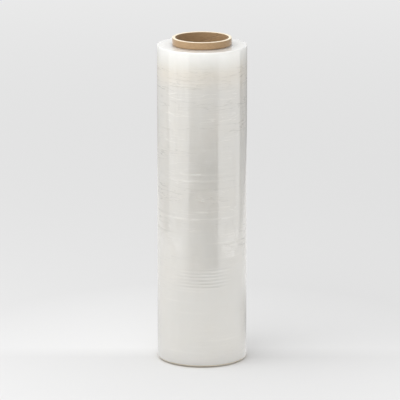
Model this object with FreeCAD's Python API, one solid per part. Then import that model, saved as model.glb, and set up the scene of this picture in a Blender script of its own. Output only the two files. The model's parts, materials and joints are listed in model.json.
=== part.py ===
import FreeCAD
import Part
import math
import os

# A hand roll of stretch wrap. Clear polyethylene film is wound tight on a paperboard core
# that is longer than the film is wide, so the core stands proud of the film at both ends.
# The roll stands on its core. The origin is the centre of the core's lower end, +Z runs up
# the core's axis and -Y is the front. All sizes are millimetres, all bearings are degrees
# from +X.

# Core: a spiral-wound paperboard tube, cut square, with burnished edges
core_bore = 76.2
core_wall = 4.0
core_length = 469.9
core_edge_break = 0.5

# Film: the winding is one solid, seated on the core
film_width = 457.2
film_diameter = 128.5
core_foot = 2.1
film_edge_round = 1.2

# Free edge: the last turn of film ends in a straight edge down the back of the roll.
# A single film is far thinner than this step, which is as high as it needs to be to show.
free_edge_step = 0.2
free_edge_bearing = 62.0

# Gauge waves: streaks in the film stack up turn on turn into low hoops round the roll.
# A band's height is that of its lower side above the film's lower edge, but the highest band
# is placed from the film's upper edge instead.
wave_height = 0.5
wave_pitch = 4.7
band_heights = [113.2, 156.7, 178.7, 215.7, 269.8]
band_wave_counts = [6, 1, 1, 1, 2]
top_band_depth = 50.9
top_band_wave_count = 2

# Turn lines: the edges of the wound turns show as a spiral in both end faces, drawn coarse
turn_pitch = 3.4
turn_line_depth = 0.3
turn_line_width = 1.2
turn_line_margin = 1.5

axis = FreeCAD.Vector(0, 0, 1)
origin = FreeCAD.Vector(0, 0, 0)
core_radius = core_bore / 2 + core_wall
film_radius = film_diameter / 2
film_bottom = core_foot
film_top = core_foot + film_width


def at(radius, height):
    """A point of a half section, at a radius from the axis and a height."""
    return FreeCAD.Vector(radius, 0, height)


def spiral_half_turns(section, start_radius, pitch, count):
    """Half turns of a section, swept round a two-centre spiral and joined into one solid.

    The halves are struck from two centres that lie half a pitch apart, each half a pitch
    larger than the one before, so they meet tangent and grow by one pitch in a full turn.
    section is a function that gives the half section's face for a radius."""
    halves = []
    for index in range(count):
        side = -1 if index % 2 == 0 else 1
        radius = start_radius + pitch / 4 + index * pitch / 2
        half = section(radius).revolve(origin, axis, 180)
        half.rotate(origin, axis, 180 * index)
        half.translate(FreeCAD.Vector(side * pitch / 4, 0, 0))
        halves.append(half)
    spiral = halves[0].multiFuse(halves[1:])
    spiral.rotate(origin, axis, free_edge_bearing)
    return spiral


def film_section(radius):
    """The winding's half section out to a radius: flat ends, eased edges and a waved wall."""
    inner = core_radius - 2 * free_edge_step
    eased = film_edge_round * (1 - math.sqrt(0.5))
    points = [
        at(inner, film_bottom),
        at(radius - film_edge_round, film_bottom),
        at(radius - eased, film_bottom + eased),
        at(radius, film_bottom + film_edge_round),
    ]
    bases = [film_bottom + height for height in band_heights] + [film_top - top_band_depth]
    for base, wave_count in zip(bases, band_wave_counts + [top_band_wave_count]):
        points.append(at(radius, base))
        for wave in range(wave_count):
            points.append(at(radius + wave_height, base + (wave + 0.5) * wave_pitch))
            points.append(at(radius, base + (wave + 1) * wave_pitch))
    points += [
        at(radius, film_top - film_edge_round),
        at(radius - eased, film_top - eased),
        at(radius - film_edge_round, film_top),
        at(inner, film_top),
        at(inner, film_bottom),
    ]
    return Part.Face(Part.makePolygon(points))


def turn_lines(face_height, outward):
    """The cutter of one end face's spiral; outward is 1 for the upper face, -1 for the lower."""
    def section(radius):
        above = face_height + outward * turn_line_depth
        below = face_height - outward * turn_line_depth
        return Part.Face(Part.makePolygon([
            at(radius - turn_line_width, above),
            at(radius + turn_line_width, above),
            at(radius, below),
            at(radius - turn_line_width, above),
        ]))

    first = core_radius + turn_line_margin + turn_line_width / 2
    last = film_radius - free_edge_step - film_edge_round - turn_line_margin - turn_line_width / 2
    half_turns = math.floor((last - first) / (turn_pitch / 2))
    return spiral_half_turns(section, first, turn_pitch, half_turns)


def make_core_tube():
    """The paperboard tube with all four edges of its square-cut ends eased."""
    outside = Part.makeCylinder(core_radius, core_length)
    bore = Part.makeCylinder(core_bore / 2, core_length)
    tube = outside.cut(bore)
    rims = [edge for edge in tube.Edges if edge.Closed and len(edge.Vertexes) == 1]
    return tube.makeChamfer(core_edge_break, rims)


def make_film_roll():
    """The wound film, bored to sit on the core, with its turns showing in both end faces."""
    winding = spiral_half_turns(film_section, film_radius - free_edge_step, free_edge_step, 2)
    seat = Part.makeCylinder(core_radius, core_length)
    return winding.cut([seat, turn_lines(film_top, 1), turn_lines(film_bottom, -1)])


os.makedirs("parts", exist_ok=True)
for name, make in (("core_tube", make_core_tube), ("film_roll", make_film_roll)):
    solid = make().Solids[0]
    solid.exportStep("parts/" + name + ".step")
    print(name, "valid", solid.isValid(), "volume", round(solid.Volume), "faces", len(solid.Faces))
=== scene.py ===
"""The looks of a hand roll of stretch wrap: clear film wound on a spiral-wound paperboard core.

Everything is in metres, in the part's own frame: +Z up the core, -Y to the front, the core's
lower end on the floor at the origin.
"""
import json
import logging
import math
import random
from dataclasses import dataclass, field
from enum import Enum
from functools import partial

import bpy
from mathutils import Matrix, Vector


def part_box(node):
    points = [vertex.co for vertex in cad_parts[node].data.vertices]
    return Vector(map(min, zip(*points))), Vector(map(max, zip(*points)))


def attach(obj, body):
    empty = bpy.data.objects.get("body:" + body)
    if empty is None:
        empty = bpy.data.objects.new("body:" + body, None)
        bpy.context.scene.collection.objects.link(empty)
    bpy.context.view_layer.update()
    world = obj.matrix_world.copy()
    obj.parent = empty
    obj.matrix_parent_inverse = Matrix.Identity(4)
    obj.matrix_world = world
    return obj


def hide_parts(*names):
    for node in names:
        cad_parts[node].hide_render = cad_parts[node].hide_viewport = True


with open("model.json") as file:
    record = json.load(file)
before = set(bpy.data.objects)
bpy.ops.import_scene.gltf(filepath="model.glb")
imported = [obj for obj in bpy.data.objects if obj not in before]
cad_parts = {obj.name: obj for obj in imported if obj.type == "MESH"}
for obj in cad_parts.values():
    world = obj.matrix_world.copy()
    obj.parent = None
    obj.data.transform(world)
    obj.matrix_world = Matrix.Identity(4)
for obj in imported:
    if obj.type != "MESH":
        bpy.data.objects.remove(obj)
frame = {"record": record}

log = logging.getLogger("stretch_wrap_roll")

MM = 0.001
TURN = 2 * math.pi
BODY = "root"
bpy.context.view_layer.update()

Colour = tuple[float, float, float, float]
Outline = list[tuple[float, float]]
Marks = list[tuple[float, float, float]] | tuple[()]
Scale = tuple[float, float, float]
# Where a change begins and where it is complete.
Span = tuple[float, float]
Tree = bpy.types.NodeTree
Node = bpy.types.Node
Socket = bpy.types.NodeSocket

MATH = "ShaderNodeMath"
VECTOR_MATH = "ShaderNodeVectorMath"
WHOLE_MATH = "FunctionNodeIntegerMath"
RANGE = "ShaderNodeMapRange"
MIX = "ShaderNodeMix"
NOISE = "ShaderNodeTexNoise"
SEPARATE = "ShaderNodeSeparateXYZ"
SMOOTH = {"interpolation_type": "SMOOTHSTEP"}

HOOP_MARK = "hoop"
STREAK_MARK = "streak"
CRISP_ANGLE = math.radians(50)
MERGE_DISTANCE = 0.002 * MM

# The CAD's hoops stand this far out of the film's wall, and its box holds them.
CAD_WAVE_HEIGHT = 0.5 * MM


def srgb(hex_code: str) -> Colour:
    """Turns an sRGB colour into the linear values that the shaders take.

    Args:
        hex_code: The colour as # and six hex digits.

    Returns:
        Linear red, green and blue, and an alpha of 1.
    """
    linear = []
    for start in (1, 3, 5):
        value = int(hex_code[start:start + 2], 16) / 255
        linear.append(value / 12.92 if value <= 0.04045 else ((value + 0.055) / 1.055) ** 2.4)
    return (*linear, 1.0)


def add_node(tree: Tree, kind: str, inputs: dict | tuple | list = (), **settings) -> Node:
    """Adds a node to a shader or geometry tree with its settings and inputs.

    Args:
        tree: The tree that the node goes into.
        kind: The node's type name.
        inputs: Its inputs, in order or by name. A plain value is set, a socket is linked, and
            a node is linked by its first output in use. A pair given as From or To fills that
            range's Min and Max.
        settings: The node's own attributes.

    Returns:
        The new node.
    """
    node = tree.nodes.new(kind)
    for name, value in settings.items():
        setattr(node, name, value)
    given = dict(inputs) if isinstance(inputs, dict) else dict(enumerate(inputs))
    for side in ("From", "To"):
        if side in given:
            given[side + " Min"], given[side + " Max"] = given.pop(side)
    for key, value in given.items():
        if isinstance(value, Node):
            value = next(output for output in value.outputs if output.enabled)
        if isinstance(value, Socket):
            tree.links.new(value, node.inputs[key])
        else:
            node.inputs[key].default_value = value
    return node


@dataclass
class GeometryRule:
    """A geometry tree with named inputs, which makes one kind of piece from its sizes."""

    name: str
    sizes: dict[str, str]
    tree: Tree = field(init=False)
    given: Node = field(init=False)

    def __post_init__(self) -> None:
        """Starts the tree with its inputs and output."""
        self.tree = bpy.data.node_groups.new(self.name, "GeometryNodeTree")
        self.tree.interface.new_socket("Geometry", in_out="INPUT", socket_type="NodeSocketGeometry")
        for size, kind in self.sizes.items():
            self.tree.interface.new_socket(size, in_out="INPUT", socket_type="NodeSocket" + kind)
        self.tree.interface.new_socket("Geometry", in_out="OUTPUT", socket_type="NodeSocketGeometry")
        self.given = add_node(self.tree, "NodeGroupInput")

    def finish(self, shaped: Node) -> None:
        """Ends the tree: smooth shading with crisp corners, real instances, the material.

        Args:
            shaped: The node with the finished geometry.
        """
        add = partial(add_node, self.tree)
        smooth = add("GeometryNodeSetShadeSmooth", {
            "Geometry": shaped, "Shade Smooth": True}, domain="FACE")
        corner = add("GeometryNodeInputMeshEdgeAngle")
        crisp = add("FunctionNodeCompare", (corner, CRISP_ANGLE), operation="GREATER_THAN")
        edged = add("GeometryNodeSetShadeSmooth", {
            "Geometry": smooth, "Selection": crisp, "Shade Smooth": False}, domain="EDGE")
        real = add("GeometryNodeRealizeInstances", (edged,))
        dressed = add("GeometryNodeSetMaterial", {
            "Geometry": real, "Material": self.given.outputs["Material"]})
        add("NodeGroupOutput", (dressed,))

    def bake(self, name: str, outline: Outline, values: dict, marks: Marks = ()) -> bpy.types.Object:
        """Runs the tree once on a section outline and keeps the result as a plain mesh.

        Args:
            name: The piece's name.
            outline: The section's corners as radius and height.
            values: Input name to value.
            marks: Three numbers for each corner, which the tree reads by the name of HOOP_MARK.

        Returns:
            The piece, in the scene and with no modifier.
        """
        corners = bpy.data.meshes.new(name + "_outline")
        corners.from_pydata([(radius, 0.0, height) for radius, height in outline], [], [])
        if marks:
            carried = corners.attributes.new(HOOP_MARK, "FLOAT_VECTOR", "POINT")
            carried.data.foreach_set("vector", [number for mark in marks for number in mark])
        piece = bpy.data.objects.new(name, corners)
        modifier = piece.modifiers.new(self.name, "NODES")
        modifier.node_group = self.tree
        for socket in self.tree.interface.items_tree:
            if socket.in_out == "INPUT" and socket.name in values:
                modifier[socket.identifier] = values[socket.name]
        bpy.context.scene.collection.objects.link(piece)
        graph = bpy.context.evaluated_depsgraph_get()
        mesh = bpy.data.meshes.new_from_object(piece.evaluated_get(graph))
        piece.modifiers.clear()
        piece.data = mesh
        mesh.name = name
        mesh.attributes.remove(mesh.attributes[HOOP_MARK])
        bpy.data.meshes.remove(corners)
        return piece


SWEEP_SIZES = {"Columns": "Int", "Inner radius": "Float", "Outer radius": "Float",
               "Step": "Float", "Bearing": "Float"}


def section_sweep() -> Tree:
    """Builds the rule that turns a section outline into a body wound round the core's axis.

    Each column of the mesh is the outline at one bearing. The outline's outer part grows with
    the bearing by one step in a turn, and a last column with no width closes the step, which
    is the free edge of a wound sheet.

    Returns:
        A geometry tree to be used as a group.
    """
    rule = GeometryRule("section_sweep", SWEEP_SIZES)
    add, given = partial(add_node, rule.tree), rule.given.outputs
    size = add("GeometryNodeAttributeDomainSize", (given["Geometry"],))
    corners = size.outputs["Point Count"]
    rows = add(WHOLE_MATH, (corners, 1), operation="ADD")
    edge_column = add(WHOLE_MATH, (given["Columns"], 1), operation="ADD")
    all_columns = add(WHOLE_MATH, (given["Columns"], 2), operation="ADD")
    grid = add("GeometryNodeMeshGrid", {"Vertices X": all_columns, "Vertices Y": rows})

    index = add("GeometryNodeInputIndex")
    column = add(WHOLE_MATH, (index, rows), operation="DIVIDE_FLOOR")
    row = add(WHOLE_MATH, (index, rows), operation="MODULO")
    corner = add(WHOLE_MATH, (row, corners), operation="MODULO")
    position = add("GeometryNodeInputPosition")
    sampled = add("GeometryNodeSampleIndex", {
        "Geometry": given["Geometry"], "Value": position, "Index": corner}, data_type="FLOAT_VECTOR")
    section = add(SEPARATE, (sampled,)).outputs

    bounded = add(MATH, (column, given["Columns"]), operation="MINIMUM")
    bearing = add(RANGE, {"Value": bounded, "From Max": given["Columns"], "To Max": TURN})
    turned = add(MATH, (bearing, given["Bearing"]), operation="ADD")
    wound = add(WHOLE_MATH, (column, edge_column), operation="MODULO")
    lacking = add(MATH, (given["Step"], -1.0), operation="MULTIPLY")
    missing = add(RANGE, {"Value": wound, "From Max": given["Columns"], "To": (lacking, 0.0)})
    growth = add(RANGE, {
        "Value": section["X"], "From": (given["Inner radius"], given["Outer radius"]),
        "To": (0.0, missing)})
    radius = add(MATH, (section["X"], growth), operation="ADD")
    upright = add("ShaderNodeCombineXYZ", {"X": radius, "Z": section["Z"]})
    swept = add("ShaderNodeVectorRotate", {"Vector": upright, "Angle": turned}, rotation_type="Z_AXIS")
    placed = add("GeometryNodeSetPosition", {"Geometry": grid, "Position": swept})
    mark = add("GeometryNodeInputNamedAttribute", {"Name": HOOP_MARK}, data_type="FLOAT_VECTOR")
    carried = add("GeometryNodeSampleIndex", {
        "Geometry": given["Geometry"], "Value": mark, "Index": corner}, data_type="FLOAT_VECTOR")
    marked = add("GeometryNodeStoreNamedAttribute", {
        "Geometry": placed, "Name": HOOP_MARK, "Value": carried},
        data_type="FLOAT_VECTOR", domain="POINT")
    closed = add("GeometryNodeMergeByDistance", {"Geometry": marked, "Distance": MERGE_DISTANCE})
    add("NodeGroupOutput", (closed,))
    return rule.tree


def swept_body(rule: GeometryRule, sweep: Tree) -> Node:
    """Puts the section sweep into a piece's own tree.

    Args:
        rule: The piece's rule, whose inputs include the sweep's.
        sweep: The shared sweep.

    Returns:
        The node with the swept geometry.
    """
    inputs = {name: rule.given.outputs[name] for name in ("Geometry", *SWEEP_SIZES)}
    return add_node(rule.tree, "GeometryNodeGroup", inputs, node_tree=sweep)


def arc(centre: tuple[float, float], radius: float, start: float, end: float, steps: int) -> Outline:
    """Points of an arc in the section, ends included.

    Args:
        centre: Its centre as radius and height.
        radius: Its own radius.
        start: Its first angle in degrees.
        end: Its last angle in degrees.
        steps: How many chords it has.

    Returns:
        Points as radius and height.
    """
    angles = [math.radians(start + (end - start) * step / steps) for step in range(steps + 1)]
    return [(centre[0] + radius * math.cos(angle), centre[1] + radius * math.sin(angle)) for angle in angles]


@dataclass(frozen=True)
class StretchFilm:
    """Cast linear low-density polyethylene film, wound hundreds of turns deep.

    One turn is clear and glossy. The many faces below it throw the light back, so the winding
    looks milky white and shines like a stack of glass plates, sharply on the outermost turn
    and softly from those below.
    """

    body: str = "#D7D6D1"
    warm_tint_and_glow: str = "#E5DBCC"
    edge: str = "#F8F3E7"
    floor_contact_shade: str = "#CDBB98"
    roughness: float = 0.5
    outer_turns_roughness: float = 0.03
    outer_turns_ior: float = 2.5
    scatter_depth: float = 60 * MM
    top_glow_depth: float = 42 * MM
    warm_glow_depth: float = 30 * MM
    warm_glow_reach: float = 32 * MM
    warm_glow_amount: float = 0.55
    cloud_scale: float = 14.0
    cloud_amount: float = 0.5
    floor_shade_height: float = 2.2 * MM
    crease_pitch: float = 5.6 * MM
    crease_length: float = 60 * MM
    crease_half_width: float = 0.03
    crease_height: float = 0.1 * MM
    crease_milkiness: float = 0.11
    streak_milkiness: float = 0.09
    painted_side_shade: float = 0.25
    side_shade_span: Span = (50 * MM, 58 * MM)
    patch_size: float = 70 * MM
    patch_span: Span = (0.38, 0.58)
    patch_least: float = 0.1
    sign_scale: float = 0.45
    sign_span: Span = (0.42, 0.58)
    calm_span: Span = (120 * MM, 230 * MM)
    calm_least: float = 0.25
    rim_span: Span = (12 * MM, 36 * MM)

    def colour(self, tree: Tree, place: Socket, bottom: float, top: float) -> Node:
        """Builds the winding's colour before its creases: milky, with a painted glow towards the upper end
        and a line of painted shade at the lower end.

        Args:
            tree: The shader's tree.
            place: The place on the winding.
            bottom: Height of the winding's lower end.
            top: Height of its upper end.

        Returns:
            The node with the colour.
        """
        add = partial(add_node, tree)
        height = add(SEPARATE, (place,)).outputs["Z"]

        # The core's brown shows through a little; a painted warm glow, light from the top face tinted by the
        # core, makes it strongest a few centimetres below the top.
        below_band = add(MATH, (height, top - self.warm_glow_depth), operation="SUBTRACT")
        from_band = add(MATH, (below_band,), operation="ABSOLUTE")
        warm_glow_band = add(RANGE, {
            "Value": from_band, "From": (self.warm_glow_reach, 0.0), "To Max": self.warm_glow_amount}, **SMOOTH)
        clouds = add(NOISE, {"Vector": place, "Scale": self.cloud_scale, "Detail": 2.0})
        faint = add(MATH, (clouds, self.cloud_amount), operation="MULTIPLY")
        warmth = add(MATH, (warm_glow_band, faint), operation="ADD")
        milky = add(MIX, {"Factor": warmth, "A": srgb(self.body), "B": srgb(self.warm_tint_and_glow)}, data_type="RGBA")

        # Painted glow: the last few centimetres are painted paler, for light that enters the cut edges of
        # the turns and glows through them.
        near_top = add(RANGE, {
            "Value": height, "From": (top - self.top_glow_depth, top)}, interpolation_type="SMOOTHERSTEP")
        lit = add(MIX, {"Factor": near_top, "A": milky, "B": srgb(self.edge)}, data_type="RGBA")

        # Painted shade: a thin warm-brown line round the lowest turns, just over the floor where the roll
        # stands on it.
        near_floor = add(RANGE, {
            "Value": height, "From": (bottom + self.floor_shade_height, bottom + self.floor_shade_height / 2)})
        return add(MIX, {"Factor": near_floor, "A": lit, "B": srgb(self.floor_contact_shade)}, data_type="RGBA")

    def creases(self, tree: Tree, place: Socket, top: float) -> Node:
        """Builds the fine creases, long round the roll and in patches, drawn coarse enough to show.

        They are the contour lines of a noise that is stretched round the roll, so each is thin,
        a little slanted and runs out to a point.

        Args:
            tree: The shader's tree.
            place: The place on the winding.
            top: Height of the winding's upper end.

        Returns:
            The node with their height, 0 where the film lies smooth and up to 1 either way.
        """
        add = partial(add_node, tree)
        drawn_out = add("ShaderNodeMapping", {"Vector": place, "Scale": (
            1 / self.crease_length, 1 / self.crease_length, 1 / self.crease_pitch)})
        lines = add(NOISE, {"Vector": drawn_out, "Scale": 1.0, "Detail": 2.0, "Roughness": 0.6})
        level = add(MATH, (lines, 0.5), operation="SUBTRACT")
        distance = add(MATH, (level,), operation="ABSOLUTE")
        thread = add(RANGE, {"Value": distance, "From": (self.crease_half_width, 0.0)}, **SMOOTH)
        patches = add(NOISE, {"Vector": place, "Scale": 1 / self.patch_size, "Detail": 1.0})
        loose = add(RANGE, {
            "Value": patches, "From": self.patch_span, "To Min": self.patch_least}, **SMOOTH)
        either_way = add(NOISE, {"Vector": drawn_out, "Scale": self.sign_scale, "Detail": 0.0})
        up_or_down = add(RANGE, {"Value": either_way, "From": self.sign_span, "To": (-1.0, 1.0)})
        height = add(SEPARATE, (place,)).outputs["Z"]
        upper = add(RANGE, {"Value": height, "From": self.calm_span, "To Min": self.calm_least}, **SMOOTH)
        below_rim = add(RANGE, {
            "Value": height, "From": tuple(top - depth for depth in self.rim_span)}, **SMOOTH)
        crease = thread
        for factor in (loose, upper, below_rim, up_or_down):
            crease = add(MATH, (crease, factor), operation="MULTIPLY")
        return crease

    def material(self, bottom: float, top: float) -> bpy.types.Material:
        """Builds the film's shader.

        Args:
            bottom: Height of the winding's lower end.
            top: Height of its upper end.

        Returns:
            The material.
        """
        material = bpy.data.materials.new("lldpe_stretch_film_wound")
        material.use_nodes = True
        tree = material.node_tree
        tree.nodes.clear()
        add = partial(add_node, tree)
        place = add("ShaderNodeTexCoord").outputs["Object"]
        crease = self.creases(tree, place, top)

        # Air trapped along a crease or a hoop makes it a little milkier than the film beside it.
        streak = add("ShaderNodeAttribute", attribute_name=STREAK_MARK).outputs["Fac"]
        hooped = add(MATH, (streak, self.streak_milkiness, 1.0), operation="MULTIPLY_ADD")
        milky = add(MATH, (crease, self.crease_milkiness, hooped), operation="MULTIPLY_ADD")

        # Painted shade: towards the roll's left and right sides, each crease is painted a little darker.
        axes = add(SEPARATE, (place,)).outputs
        across = add(MATH, (axes["X"],), operation="ABSOLUTE")
        side_shade_mask = add(RANGE, {"Value": across, "From": self.side_shade_span, "To Max": -self.painted_side_shade})
        depth = add(MATH, (crease,), operation="ABSOLUTE")
        milkiness_and_side_shade = add(MATH, (depth, side_shade_mask, milky), operation="MULTIPLY_ADD")
        base = add("ShaderNodeHueSaturation", {
            "Color": self.colour(tree, place, bottom, top), "Value": milkiness_and_side_shade})
        bump = add("ShaderNodeBump", {"Distance": self.crease_height, "Height": crease})
        shader = add("ShaderNodeBsdfPrincipled", {
            "Base Color": base, "Roughness": self.roughness, "IOR": 1.5,
            "Specular IOR Level": 0.3, "Normal": bump, "Subsurface Weight": 1.0,
            "Subsurface Radius": (1.0, 0.98, 0.94), "Subsurface Scale": self.scatter_depth,
            "Coat Weight": 1.0, "Coat Roughness": self.outer_turns_roughness,
            "Coat IOR": self.outer_turns_ior, "Coat Normal": bump}, subsurface_method="RANDOM_WALK")
        add("ShaderNodeOutputMaterial", (shader,))
        return material


@dataclass(frozen=True)
class KraftPaperboard:
    """Spiral-wound kraft paperboard: narrow plies glued round a mandrel and cut to length.

    It is matt and warm brown, flecked with fibres, with a fine dark line where the outer
    ply's edges meet, and paler where the knife has cut across the plies, with a painted highlight along that
    cut rim.
    """

    face: str = "#B29470"
    fleck: str = "#8C6F4C"
    cut_and_rim_highlight: str = "#F8EACF"
    seam: str = "#6E5538"
    roughness: float = 0.38
    fuzz: float = 0.35
    ply_width: float = 96 * MM
    seam_width: float = 0.9 * MM
    fibre_length: float = 5 * MM
    fibre_width: float = 0.8 * MM
    outer_radius: float = 42.1 * MM
    shown_height: float = 10.6 * MM
    contact_height: float = 1.9 * MM
    contact_depth: Span = (2 * MM, 1 * MM)
    contact_amount: float = 0.8
    fleck_span: Span = (0.42, 0.72)
    fleck_amount: float = 0.7
    seam_amount: float = 0.22
    cut_span: Span = (0.9 * MM, 0.3 * MM)
    fibre_relief: float = 0.4
    relief_height: float = 0.25 * MM

    def material(self, top: float) -> bpy.types.Material:
        """Builds the paperboard's shader.

        Args:
            top: Height of the core's upper end.

        Returns:
            The material.
        """
        material = bpy.data.materials.new("kraft_paperboard_spiral_wound")
        material.use_nodes = True
        tree = material.node_tree
        tree.nodes.clear()
        add = partial(add_node, tree)
        place = add("ShaderNodeTexCoord").outputs["Object"]
        axes = add(SEPARATE, (place,)).outputs

        # The ply seam climbs one ply width in each turn round the tube.
        angle = add(MATH, (axes["Y"], axes["X"]), operation="ARCTAN2")
        turn = add(MATH, (angle, TURN), operation="DIVIDE")
        climb = add(MATH, (axes["Z"], 1 / self.ply_width, turn), operation="MULTIPLY_ADD")
        nearest = add(MATH, (climb, 0.5), operation="PINGPONG")
        seam = add(RANGE, {"Value": nearest, "From": (self.seam_width / self.ply_width, 0.0)}, **SMOOTH)

        combed = add("ShaderNodeMapping", {
            "Vector": place, "Scale": (1 / self.fibre_length, 1 / self.fibre_length, 1 / self.fibre_width)})
        fibres = add(NOISE, {"Vector": combed, "Scale": 1.0, "Detail": 5.0, "Roughness": 0.7})
        flecks = add(RANGE, {"Value": fibres, "From": self.fleck_span, "To Max": self.fleck_amount})
        paper = add(MIX, {
            "Factor": flecks, "A": srgb(self.face), "B": srgb(self.fleck)}, data_type="RGBA")
        seam_shade = add(MATH, (seam, self.seam_amount), operation="MULTIPLY")
        seamed = add(MIX, {"Factor": seam_shade, "A": paper, "B": srgb(self.seam)}, data_type="RGBA")

        # Painted shade: a thin dark line, in the seam's colour, on the outer face just above where the
        # film's turns end.
        film_top = top - self.shown_height
        from_axis = add("ShaderNodeCombineXYZ", {"X": axes["X"], "Y": axes["Y"]})
        radius = add(VECTOR_MATH, (from_axis,), operation="LENGTH")
        outer_face = add(RANGE, {
            "Value": radius, "From": tuple(self.outer_radius - depth for depth in self.contact_depth),
            "To Max": self.contact_amount})
        painted_contact_shade = add(RANGE, {
            "Value": axes["Z"], "From": (film_top + self.contact_height, film_top), "To Max": outer_face})
        contact_shaded = add(MIX, {"Factor": painted_contact_shade, "A": seamed, "B": srgb(self.seam)}, data_type="RGBA")
        # The cut rim is paler, and painted paler still as a highlight.
        rim = add(RANGE, {
            "Value": axes["Z"], "From": tuple(top - depth for depth in self.cut_span)}, **SMOOTH)
        base = add(MIX, {"Factor": rim, "A": contact_shaded, "B": srgb(self.cut_and_rim_highlight)}, data_type="RGBA")
        relief = add(MATH, (fibres, self.fibre_relief, seam), operation="MULTIPLY_ADD")
        bump = add("ShaderNodeBump", {
            "Strength": 0.8, "Distance": self.relief_height, "Height": relief}, invert=True)
        shader = add("ShaderNodeBsdfPrincipled", {
            "Base Color": base, "Roughness": self.roughness, "Normal": bump,
            "Sheen Weight": self.fuzz, "Sheen Roughness": 0.35})
        add("ShaderNodeOutputMaterial", (shader,))
        return material


@dataclass
class Hoop:
    """A low ridge where streaks of thicker film stack up turn on turn, highest at one bearing.

    Where the streaks are thinner the rise is negative and the hoop is a groove.
    """

    height: float
    rise: float
    bearing: float
    spread: float
    half_width: float

    def mark(self, height: float) -> tuple[float, float, float]:
        """What a corner of the section carries: the rise at a height, the bearing, the reach round.

        Args:
            height: The corner's height.

        Returns:
            The rise, the bearing in radians and the cosine of the spread.
        """
        rise = self.rise * math.exp(-((height - self.height) / self.half_width) ** 2)
        return rise, math.radians(self.bearing), math.cos(math.radians(self.spread))


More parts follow.
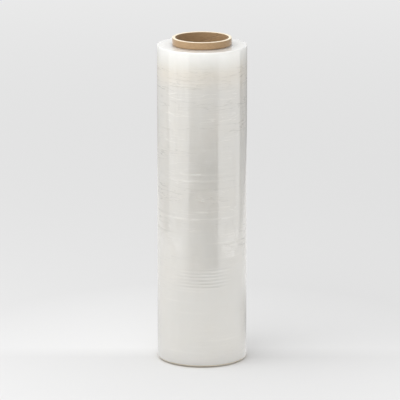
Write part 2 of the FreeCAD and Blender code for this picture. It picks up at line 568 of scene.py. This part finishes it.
@dataclass
class FilmRoll:
    """The film wound on the core, as one body with a free edge down its back."""

    bottom: float
    top: float
    core_radius: float
    radius: float
    edge_round: float = 1.2 * MM
    free_edge_step: float = 0.2 * MM
    free_edge_bearing: float = math.radians(62)
    columns: int = 184
    coarse_row: float = 1.7 * MM
    fine_row: float = 0.55 * MM
    hoop_reach: float = 3.2 * MM
    hoop_width: float = 1.3 * MM
    faint_hoops: int = 12
    wrinkle_height: float = 0.18 * MM
    turn_height: float = 0.5 * MM
    wall_span: Span = (-1.5 * MM, -0.3 * MM)
    uneven_span: Span = (0.35, 0.65)
    uneven_strength: Span = (0.5, 1.2)
    uneven_scale: Scale = (30, 30, 60)
    calm_span: Span = (90 * MM, 230 * MM)
    calm_least: float = 0.3
    wrinkle_scale: Scale = (13, 13, 150)
    ring_scale: Scale = (6, 6, 0)
    rings_per_metre: float = 700.0
    streak_unit: float = 0.1 * MM
    seed: int = 7
    finish: StretchFilm = field(default_factory=StretchFilm)

    def hoops(self) -> list[Hoop]:
        """The hoops, lowest first: a close group, single and double ones, and faint ones.

        Each is listed with its height above the film's lower end and its rise in millimetres,
        and its bearing and spread in degrees.

        Returns:
            Hoops at heights above the floor.
        """
        group = [(115.6 + 4.9 * k, -91 + 3 * (k % 3)) for k in range(6)]
        placed = [(ridge, 0.09, bearing, 40) for ridge, bearing in group]
        placed += [(ridge + 2.4, -0.07, bearing, 40) for ridge, bearing in group]
        placed += [(20, 0.04, -110, 50), (29, 0.03, -80, 40), (38, 0.04, -60, 40), (79, 0.04, -100, 30),
                   (95, 0.04, -120, 35), (111, 0.05, -110, 30)]
        placed += [(159, 0.06, -60, 35), (181, 0.07, -45, 45), (195, -0.14, -160, 40),
                   (217, 0.12, -95, 70), (221, -0.1, -170, 45)]
        placed += [(269, -0.05, -95, 50), (272.6, 0.12, -100, 62), (281, 0.08, -98, 55)]
        placed += [(409, 0.08, -112, 40), (413.5, 0.07, -108, 44)]
        draw = random.Random(self.seed)
        placed += [(draw.uniform(230, 437), draw.uniform(-0.08, 0.08), draw.uniform(-180, 180),
                    draw.uniform(25, 70)) for _ in range(self.faint_hoops)]
        return [Hoop(self.bottom + height * MM, rise * MM, bearing, spread, self.hoop_width)
                for height, rise, bearing, spread in sorted(placed)]

    def wall(self) -> Outline:
        """The wall between its rims, its rows close together where a hoop needs them.

        Returns:
            Points as radius and height.
        """
        hoops = self.hoops()
        points = []
        height = self.bottom + self.edge_round
        while height < self.top - self.edge_round - self.coarse_row:
            near = any(abs(hoop.height - height) < self.hoop_reach for hoop in hoops)
            height += self.fine_row if near else self.coarse_row
            points.append((self.radius, height))
        return points

    def marks(self, outline: Outline) -> Marks:
        """What each corner of the section carries from its nearest hoop.

        Args:
            outline: The section.

        Returns:
            A hoop's mark for each corner.
        """
        hoops = self.hoops()
        return [min(hoops, key=lambda hoop: abs(hoop.height - height)).mark(height) for _, height in outline]

    def outline(self) -> Outline:
        """The winding's section as a loop, from the lower end of its bore and anticlockwise.

        Returns:
            Points as radius and height.
        """
        rim_radius = self.radius - self.edge_round
        face_steps, bore_steps, rim_steps = 16, 5, 6
        face = [self.core_radius + (rim_radius - self.core_radius) * k / face_steps
                for k in range(face_steps)]
        lower_rim = arc((rim_radius, self.bottom + self.edge_round), self.edge_round, -90, 0, rim_steps)
        upper_rim = arc((rim_radius, self.top - self.edge_round), self.edge_round, 0, 90, rim_steps)
        bore = [(self.core_radius, self.top + (self.bottom - self.top) * k / bore_steps)
                for k in range(1, bore_steps)]
        lower_face = [(radius, self.bottom) for radius in face]
        upper_face = [(radius, self.top) for radius in reversed(face)]
        return lower_face + lower_rim + self.wall() + upper_rim + upper_face + bore

    def rule(self, sweep: Tree) -> GeometryRule:
        """Builds the rule of the wound film: the sweep, then hoops, wrinkles and uneven turns.

        Args:
            sweep: The shared sweep.

        Returns:
            The rule.
        """
        rule = GeometryRule("wound_film", {
            **SWEEP_SIZES, "Bottom": "Float", "Wrinkle height": "Float", "Turn height": "Float",
            "Seed": "Float", "Material": "Material"})
        add, given = partial(add_node, rule.tree), rule.given.outputs
        body = swept_body(rule, sweep)
        place = add("GeometryNodeInputPosition")
        axes = add(SEPARATE, (place,)).outputs
        level = add(VECTOR_MATH, (place, (1, 1, 0)), operation="MULTIPLY")
        radius = add(VECTOR_MATH, (level,), operation="LENGTH")
        outward = add(VECTOR_MATH, (level,), operation="NORMALIZE")

        # 1 on the wall, 0 on the end faces and in the bore.
        proud = add(MATH, (radius, given["Outer radius"]), operation="SUBTRACT")
        on_wall = add(RANGE, {"Value": proud, "From": self.wall_span}, **SMOOTH)

        # A hoop is highest at its bearing, dies away to both sides and is uneven on the way.
        mark = add("GeometryNodeInputNamedAttribute", {"Name": HOOP_MARK}, data_type="FLOAT_VECTOR")
        hoop = add(SEPARATE, (mark,)).outputs
        angle = add(MATH, (axes["Y"], axes["X"]), operation="ARCTAN2")
        away = add(MATH, (angle, hoop["Y"]), operation="SUBTRACT")
        closeness = add(MATH, (away,), operation="COSINE")
        reached = add(RANGE, {"Value": closeness, "From Min": hoop["Z"]}, **SMOOTH)
        slow = add(VECTOR_MATH, (place, self.uneven_scale), operation="MULTIPLY")
        fade = add(NOISE, {
            "Vector": slow, "W": given["Seed"], "Scale": 1.0, "Detail": 1.0}, noise_dimensions="4D")
        uneven = add(RANGE, {"Value": fade, "From": self.uneven_span, "To": self.uneven_strength})
        strength = add(MATH, (reached, uneven), operation="MULTIPLY")
        hoop_change = add(MATH, (hoop["X"], strength), operation="MULTIPLY")

        # Wrinkles are many times longer round the roll than along it, and fade downwards.
        drawn = add(VECTOR_MATH, (place, self.wrinkle_scale), operation="MULTIPLY")
        wrinkle = add(NOISE, {
            "Vector": drawn, "W": given["Seed"], "Scale": 1.0, "Detail": 2.0, "Roughness": 0.6},
            noise_dimensions="4D")
        up_the_wall = add(MATH, (axes["Z"], given["Bottom"]), operation="SUBTRACT")
        upper_part = add(RANGE, {
            "Value": up_the_wall, "From": self.calm_span, "To Min": self.calm_least}, **SMOOTH)
        amount = add(MATH, (upper_part, on_wall), operation="MULTIPLY")
        reach = add(MATH, (amount, given["Wrinkle height"]), operation="MULTIPLY")
        centred = add(MATH, (wrinkle, 0.5), operation="SUBTRACT")
        ridge = add(MATH, (hoop_change, on_wall), operation="MULTIPLY")
        moved = add(MATH, (centred, reach, ridge), operation="MULTIPLY_ADD")
        pushed = add(VECTOR_MATH, {0: outward, "Scale": moved}, operation="SCALE")

        # The turns end a little unevenly, which draws rings in both end faces.
        rings = add(MATH, (radius, self.rings_per_metre), operation="MULTIPLY")
        ring_place = add(VECTOR_MATH, (level, self.ring_scale), operation="MULTIPLY")
        ring_axes = add(SEPARATE, (ring_place,)).outputs
        ring_at = add("ShaderNodeCombineXYZ", (ring_axes["X"], ring_axes["Y"], rings))
        ring = add(NOISE, {
            "Vector": ring_at, "W": given["Seed"], "Scale": 1.0, "Detail": 1.0}, noise_dimensions="4D")
        ring_centred = add(MATH, (ring, 0.5), operation="SUBTRACT")
        off_wall = add(MATH, (1.0, on_wall), operation="SUBTRACT")
        turn_reach = add(MATH, (off_wall, given["Turn height"]), operation="MULTIPLY")
        lift = add(MATH, (ring_centred, turn_reach), operation="MULTIPLY")
        raised = add("ShaderNodeCombineXYZ", {"Z": lift})
        offset = add(VECTOR_MATH, (pushed, raised), operation="ADD")
        shaped = add("GeometryNodeSetPosition", {"Geometry": body, "Offset": offset})
        streak = add(MATH, (ridge, self.streak_unit), operation="DIVIDE")
        streaked = add("GeometryNodeStoreNamedAttribute", {
            "Geometry": shaped, "Name": STREAK_MARK, "Value": streak}, data_type="FLOAT", domain="POINT")
        rule.finish(streaked)
        return rule

    def build(self, sweep: Tree) -> bpy.types.Object:
        """Makes the dressed film, riding on the part's body in place of its plain solid.

        Args:
            sweep: The shared sweep.

        Returns:
            The film's object.
        """
        outline = self.outline()
        film = self.rule(sweep).bake("wound_stretch_film", outline, {
            "Columns": self.columns, "Inner radius": self.core_radius, "Outer radius": self.radius,
            "Step": self.free_edge_step, "Bearing": self.free_edge_bearing, "Bottom": self.bottom,
            "Wrinkle height": self.wrinkle_height, "Turn height": self.turn_height,
            "Seed": float(self.seed), "Material": self.finish.material(self.bottom, self.top)},
            self.marks(outline))
        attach(film, BODY)
        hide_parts("film_roll")
        return film


@dataclass
class CoreTube:
    """The paperboard core that the film is wound on."""

    radius: float
    bore_radius: float
    length: float
    edge_round: float = 0.45 * MM
    columns: int = 200
    shown_length: float = 14 * MM
    fine_row: float = 0.7 * MM
    coarse_row: float = 6 * MM
    cut_roughness: float = 0.7 * MM
    worn_depth: float = 1.6 * MM
    worn_scale: float = 130.0
    worn_level: float = 0.8
    seed: int = 3
    finish: KraftPaperboard = field(default_factory=KraftPaperboard)

    def heights(self) -> list[float]:
        """Heights of the wall's rows, fine where the core shows above the film.

        Returns:
            Heights above the floor, lowest first.
        """
        heights = []
        height = self.edge_round + self.coarse_row
        while height < self.length - self.edge_round - self.fine_row:
            heights.append(height)
            height += self.fine_row if height > self.length - self.shown_length else self.coarse_row
        return heights

    def outline(self) -> Outline:
        """The wall's section as a loop, from the bore's lower edge and anticlockwise.

        Returns:
            Points as radius and height.
        """
        ease, steps = self.edge_round, 4
        inner, outer = self.bore_radius + ease, self.radius - ease
        lower = arc((inner, ease), ease, 180, 270, steps) + arc((outer, ease), ease, 270, 360, steps)
        upper = arc((outer, self.length - ease), ease, 0, 90, steps)
        upper += arc((inner, self.length - ease), ease, 90, 180, steps)
        outside = [(self.radius, height) for height in self.heights()]
        inside = [(self.bore_radius, height) for height in reversed(self.heights())]
        return lower + outside + upper + inside

    def rule(self, sweep: Tree) -> GeometryRule:
        """Builds the rule of the cut paperboard: the sweep, then a slightly uneven cut edge.

        Args:
            sweep: The shared sweep.

        Returns:
            The rule.
        """
        rule = GeometryRule("cut_paperboard", {
            **SWEEP_SIZES, "Length": "Float", "Cut roughness": "Float", "Seed": "Float",
            "Material": "Material"})
        add, given = partial(add_node, rule.tree), rule.given.outputs
        body = swept_body(rule, sweep)
        place = add("GeometryNodeInputPosition")
        height = add(SEPARATE, (place,)).outputs["Z"]
        below_cut = add(MATH, (given["Length"], height), operation="SUBTRACT")
        near_cut = add(RANGE, {"Value": below_cut, "From": (self.worn_depth, 0.0)}, **SMOOTH)
        noise = add(NOISE, {
            "Vector": place, "W": given["Seed"], "Scale": self.worn_scale, "Detail": 3.0},
            noise_dimensions="4D")
        worn = add(MATH, (noise, self.worn_level), operation="SUBTRACT")
        reach = add(MATH, (near_cut, given["Cut roughness"]), operation="MULTIPLY")
        lift = add(MATH, (worn, reach), operation="MULTIPLY")
        offset = add("ShaderNodeCombineXYZ", {"Z": lift})
        shaped = add("GeometryNodeSetPosition", {"Geometry": body, "Offset": offset})
        rule.finish(shaped)
        return rule

    def build(self, sweep: Tree) -> bpy.types.Object:
        """Makes the dressed core, riding on the part's body in place of its plain solid.

        Args:
            sweep: The shared sweep.

        Returns:
            The core's object.
        """
        core = self.rule(sweep).bake("paperboard_core", self.outline(), {
            "Columns": self.columns, "Inner radius": self.bore_radius, "Outer radius": self.radius,
            "Step": 0.0, "Bearing": 0.0, "Length": self.length, "Cut roughness": self.cut_roughness,
            "Seed": float(self.seed), "Material": self.finish.material(self.length)})
        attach(core, BODY)
        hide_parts("core_tube")
        return core


class LampRole(Enum):
    """What a lamp in the studio is for."""

    KEY = "key"
    FILL = "fill"
    TOP = "top"


@dataclass(frozen=True)
class SoftBox:
    """A flat soft lamp: upright and facing the roll, or overhead and facing down on it.

    Its bearing runs from the camera's side, with what stands to the camera's left negative.
    """

    role: LampRole
    bearing: float
    distance: float
    width: float
    height: float
    centre_height: float
    radiance: float

    def build(self) -> bpy.types.Object:
        """Makes the lamp.

        Returns:
            The lamp's object.
        """
        lamp = bpy.data.lights.new(self.role.value, "AREA")
        lamp.shape = "RECTANGLE"
        lamp.size = self.width
        lamp.size_y = self.height
        lamp.energy = self.radiance * math.pi * self.width * self.height
        stand = bpy.data.objects.new("lamp_" + self.role.value, lamp)
        angle = math.radians(self.bearing)
        stand.location = (
            self.distance * math.sin(angle), -self.distance * math.cos(angle), self.centre_height)
        aim = Vector((0, 0, 0 if self.role is LampRole.TOP else self.centre_height))
        stand.rotation_euler = (aim - stand.location).to_track_quat("-Z", "Y").to_euler()
        stand.visible_camera = False
        bpy.context.scene.collection.objects.link(stand)
        return stand


@dataclass
class Studio:
    """A pale floor, soft lamps and the camera at the photograph's viewing angle.

    A table's or room's level is how bright it shows in reflections. The roll's outermost turn
    mirrors both, and they draw its upright bands together with the lamps.
    """

    camera_distance: float = 4.6
    camera_height: float = 1.3733
    camera_pitch: float = math.radians(13.935)
    camera_yaw: float = math.radians(0.035)
    lens: float = 297.7
    floor_size: float = 30.0
    floor_colour: str = "#D6D6D6"
    table_left_level: float = 0.82
    table_right_level: float = 0.88
    table_back_level: float = 0.95
    table_shaded_level: float = 0.0
    room_side_level: float = 0.25
    room_back_level: float = 0.5
    room_back_left_level: float = 0.4
    room_back_right_level: float = 0.22
    room_near_level: float = 0.4
    room_dim_level: float = 0.06
    room_far_level: float = 0.75
    table_front: float = 0.52
    table_side: float = 0.68
    table_edge: float = 0.04
    table_side_edge: float = 0.16
    painted_shadow_lift: float = 0.12
    spill: float = 0.2
    backdrop_glow: float = 0.285
    backdrop_start: float = -0.3
    backdrop_end: float = 3.0
    shadow_span: Span = (0.4, 0.08)
    shadow_back: Span = (-0.01, 0.04)
    spill_reach: float = 1.0
    spill_sides: Span = (0.6, 0.4)
    back_share: float = 0.5
    key_gap: Span = (math.radians(-43), math.radians(-20))
    fill_gap: Span = (math.radians(42.5), math.radians(38.5))
    table_sides: Span = (-0.3, 0.2)
    table_back: Span = (0.0, 0.2)
    front_span: Span = (0.3, 0.6)
    front_lift: float = 0.15
    shaded_span: Span = (0.08, 0.45)
    dim_span: Span = (0.8, 1.2)
    far_span: Span = (1.25, 2.1)
    room_sides: Span = (-0.2, 0.2)
    room_back: Span = (0.1, 0.5)
    room_depth: Span = (1.0, 1.7)
    world_level: float = 0.76
    backdrop_level: float = 0.82
    lamps: tuple[SoftBox, ...] = (
        SoftBox(LampRole.KEY, -61.6, 0.7, 0.8, 1.3, 0.65, 0.45),
        SoftBox(LampRole.FILL, 74.75, 0.66, 0.89, 0.34, 0.17, 0.66),
        SoftBox(LampRole.TOP, -45, 1.0, 1.8, 1.8, 2.0, 2.15),
    )

    def build_camera(self) -> bpy.types.Object:
        """Sets up the camera in front of the roll, looking a little down on it.

        Returns:
            The camera's object.
        """
        data = bpy.data.cameras.new("camera")
        data.lens = self.lens
        data.clip_end = 60
        camera = bpy.data.objects.new("camera", data)
        camera.location = (0, -self.camera_distance, self.camera_height)
        camera.rotation_euler = (math.pi / 2 - self.camera_pitch, 0, self.camera_yaw)
        bpy.context.scene.collection.objects.link(camera)
        bpy.context.scene.camera = camera
        return camera

    def seen_glow(self, tree: Tree, place: Socket) -> Node:
        """Builds the light that only the camera sees on the floor, on top of its paint.

        Args:
            tree: The shader's tree.
            place: The place on the floor.

        Returns:
            The node with its strength.
        """
        add = partial(add_node, tree)
        reach = add(VECTOR_MATH, (place,), operation="LENGTH")

        # The floor far from the lamps is as pale as it is near them, where it is looked at.
        far = add(RANGE, {
            "Value": reach, "From": (self.backdrop_start, self.backdrop_end),
            "To Max": self.backdrop_glow})

        # A painted pool of light, seen only by the camera, pales the shadow behind the roll.
        around = add(RANGE, {"Value": reach, "From": self.shadow_span, "To Max": self.painted_shadow_lift})
        axes = add(SEPARATE, (place,)).outputs
        to_back = add(RANGE, {"Value": axes["Y"], "From": self.shadow_back})
        shown = add(MATH, (around, to_back, far), operation="MULTIPLY_ADD")

        # An upright lamp stands on the floor, which is shown as pale just behind it as before it.
        for lamp in self.lamps:
            if lamp.role is LampRole.TOP:
                continue
            angle = math.radians(lamp.bearing)
            inward = add(VECTOR_MATH, (
                place, (-math.sin(angle), math.cos(angle), 0)), operation="DOT_PRODUCT")
            beside = add(VECTOR_MATH, (
                place, (math.cos(angle), math.sin(angle), 0)), operation="DOT_PRODUCT")
            off_middle = add(MATH, (beside,), operation="ABSOLUTE")
            narrow = add(RANGE, {
                "Value": off_middle, "From": tuple(lamp.width * share for share in self.spill_sides),
                "To Max": self.spill}, **SMOOTH)
            spilt = add(RANGE, {
                "Value": inward, "From": (-lamp.distance - self.spill_reach, -lamp.distance),
                "To Max": narrow}, **SMOOTH)
            behind_lamp = add(MATH, (inward, -lamp.distance), operation="LESS_THAN")
            shown = add(MATH, (spilt, behind_lamp, shown), operation="MULTIPLY_ADD")
        return shown

    def mirrored_table(self, tree: Tree, place: Socket) -> Node:
        """Builds how bright the table top is in reflections, by the side that it lies on.

        Args:
            tree: The shader's tree.
            place: The place on the floor.

        Returns:
            The node with the level.
        """
        add = partial(add_node, tree)
        reach = add(VECTOR_MATH, (place,), operation="LENGTH")
        axes = add(SEPARATE, (place,)).outputs
        right_front = add(RANGE, {
            "Value": reach, "From": self.front_span,
            "To": (self.table_right_level + self.front_lift, self.table_right_level)})
        right_back = add(RANGE, {
            "Value": reach, "From": self.shaded_span,
            "To": (self.table_shaded_level, self.table_back_level)})
        right = add(RANGE, {"Value": axes["Y"], "From": self.table_back, "To": (right_front, right_back)})
        return add(RANGE, {
            "Value": axes["X"], "From": self.table_sides, "To": (self.table_left_level, right)})

    def mirrored_room(self, tree: Tree, place: Socket, in_gap: Node) -> Node:
        """Builds how bright the room is in reflections: dim at first and paler far off.

        Args:
            tree: The shader's tree.
            place: The place on the floor.
            in_gap: The node with how far the place lies in the gap between the upright lamps.

        Returns:
            The node with the level.
        """
        add = partial(add_node, tree)
        reach = add(VECTOR_MATH, (place,), operation="LENGTH")
        axes = add(SEPARATE, (place,)).outputs
        dimming = add(RANGE, {
            "Value": reach, "From": self.dim_span, "To": (self.room_near_level, self.room_dim_level)})
        back_end = add(RANGE, {
            "Value": axes["X"], "From": self.room_sides,
            "To": (self.room_back_left_level, self.room_back_right_level)})
        back = add(RANGE, {
            "Value": reach, "From": self.room_depth, "To": (self.room_back_level, back_end)})
        side = add(RANGE, {
            "Value": axes["Y"], "From": self.room_back, "To": (self.room_side_level, back)})
        near = add(MIX, {"Factor": in_gap, "A": side, "B": dimming})
        far_level = add(RANGE, {"Value": in_gap, "To": (self.room_far_level / 4, self.room_far_level)})
        paling = add(RANGE, {"Value": reach, "From": self.far_span, "To Max": far_level})
        return add(MATH, (near, paling), operation="ADD")

    def mirrored_level(self, tree: Tree, place: Socket) -> Node:
        """Builds how bright the floor is in reflections: a table top, then the room past its edge.

        The table ends nearer in the gap between the upright lamps than elsewhere.

        Args:
            tree: The shader's tree.
            place: The place on the floor.

        Returns:
            The node with the level.
        """
        add = partial(add_node, tree)
        reach = add(VECTOR_MATH, (place,), operation="LENGTH")
        axes = add(SEPARATE, (place,)).outputs
        ahead = add(MATH, (axes["Y"], -1.0), operation="MULTIPLY")
        behind = add(MATH, (axes["Y"], self.back_share), operation="MULTIPLY")
        depth = add(MATH, (ahead, behind), operation="MAXIMUM")
        out = add("ShaderNodeCombineXYZ", {"X": axes["X"], "Y": depth})
        out_reach = add(VECTOR_MATH, (out,), operation="LENGTH")
        past_side = add(RANGE, {
            "Value": out_reach, "From": (self.table_side, self.table_side + self.table_side_edge)}, **SMOOTH)
        past_front = add(RANGE, {
            "Value": reach, "From": (self.table_front, self.table_front + self.table_edge)}, **SMOOTH)
        bearing = add(MATH, (axes["X"], ahead), operation="ARCTAN2")
        sides = [add(RANGE, {"Value": bearing, "From": gap}) for gap in (self.key_gap, self.fill_gap)]
        in_gap = add(MATH, sides, operation="MULTIPLY")
        past_gap = add(MATH, (in_gap, past_front), operation="MULTIPLY")
        past_edge = add(MATH, (past_side, past_gap), operation="MAXIMUM")
        return add(MIX, {
            "Factor": past_edge, "A": self.mirrored_table(tree, place),
            "B": self.mirrored_room(tree, place, in_gap)})

    def floor_material(self) -> bpy.types.Material:
        """A matt painted table top. In reflections, the dimmer room shows past its edge.

        Returns:
            The material.
        """
        material = bpy.data.materials.new("matt_painted_table")
        material.use_nodes = True
        tree = material.node_tree
        tree.nodes.clear()
        add = partial(add_node, tree)
        place = add("ShaderNodeTexCoord").outputs["Object"]
        ray = add("ShaderNodeLightPath").outputs
        glow = add(MATH, (self.seen_glow(tree, place), ray["Is Camera Ray"]), operation="MULTIPLY")
        paint = add("ShaderNodeBsdfDiffuse", (srgb(self.floor_colour),))
        pale = add("ShaderNodeEmission", {"Strength": glow})
        top = add("ShaderNodeAddShader", (paint, pale))
        mirrored = add("ShaderNodeEmission", {"Strength": self.mirrored_level(tree, place)})
        mixed = add("ShaderNodeMixShader", (ray["Is Glossy Ray"], top, mirrored))
        add("ShaderNodeOutputMaterial", (mixed,))
        return material

    def build_floor(self) -> bpy.types.Object:
        """Lays the floor, which is stage and not part of the roll.

        Returns:
            The floor's object.
        """
        half = self.floor_size / 2
        mesh = bpy.data.meshes.new("floor")
        mesh.from_pydata([(-half, -half, 0), (half, -half, 0), (half, half, 0), (-half, half, 0)],
                         [], [(0, 1, 2, 3)])
        mesh.materials.append(self.floor_material())
        floor = bpy.data.objects.new("floor", mesh)
        bpy.context.scene.collection.objects.link(floor)
        return floor

    def build_world(self) -> bpy.types.World:
        """An even surround, which looks as pale as the backdrop where it is seen or mirrored.

        Returns:
            The world.
        """
        world = bpy.data.worlds.new("surround")
        world.use_nodes = True
        world.node_tree.nodes.clear()
        add = partial(add_node, world.node_tree)
        ray = add("ShaderNodeLightPath").outputs
        looked_at = add(MATH, (ray["Is Camera Ray"], ray["Is Glossy Ray"]), operation="MAXIMUM")
        level = add(RANGE, {"Value": looked_at, "To": (self.world_level, self.backdrop_level)})
        even = add("ShaderNodeBackground", (srgb("#FFFFFF"), level))
        add("ShaderNodeOutputWorld", (even,))
        bpy.context.scene.world = world
        return world

    def build(self) -> None:
        """Sets up the whole studio."""
        self.build_camera()
        self.build_floor()
        self.build_world()
        for lamp in self.lamps:
            lamp.build()
        bpy.context.scene.view_settings.view_transform = "Standard"


def main() -> None:
    """Builds the studio and both pieces of the roll, and reports each."""
    logging.basicConfig(level=logging.INFO, format="%(name)s: %(message)s")
    Studio().build()
    core_low, core_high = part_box("core_tube")
    film_low, film_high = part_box("film_roll")
    bore = next(mount for mount in frame["record"]["mounts"] if mount["name"] == "core_bore")
    core_radius = (core_high.x - core_low.x) / 2
    film_radius = (film_high.x - film_low.x) / 2 - CAD_WAVE_HEIGHT
    sweep = section_sweep()
    core = CoreTube(core_radius, bore["dims"]["r_mm"] * MM, core_high.z).build(sweep)
    film = FilmRoll(film_low.z, film_high.z, core_radius, film_radius).build(sweep)
    for piece in (core, film):
        triangles = sum(len(face.vertices) - 2 for face in piece.data.polygons)
        log.info("%s: %d triangles", piece.name, triangles)


if __name__ == "__main__":
    main()
